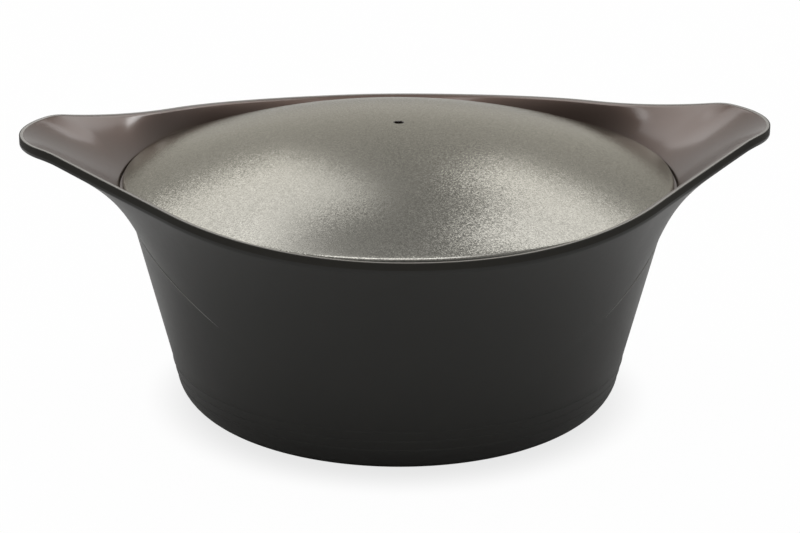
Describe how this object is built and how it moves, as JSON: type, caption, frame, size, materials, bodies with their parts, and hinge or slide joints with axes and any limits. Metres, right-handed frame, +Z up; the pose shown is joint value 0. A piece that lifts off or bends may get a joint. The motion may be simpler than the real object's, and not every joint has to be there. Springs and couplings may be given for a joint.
{
  "type": "casserole pot",
  "caption": "Round tapered casserole pot, cast in one with a rim that sweeps out and up into a wing handle at each side, with a loose domed lid that has a small steam vent at its crown.",
  "frame": {"origin": "on the vessel's axis, on the surface that the foot stands on", "axes": "+X along the two wing handles, +Z up; both sides of each axis are alike"},
  "size_m": [0.3808, 0.3004, 0.1453],
  "materials": {
    "pot_coating": "satin",
    "lid_coating": "satin"
  },
  "bodies": {
    "vessel": {"pot_body": "pot_coating"},
    "lid": {"lid": "lid_coating"}
  },
  "joints": [
    {"name": "lid_lift", "type": "slide", "parent": "vessel", "child": "lid", "axis": [0, 0, 1], "range_m": [0, 0.15]}
  ]
}
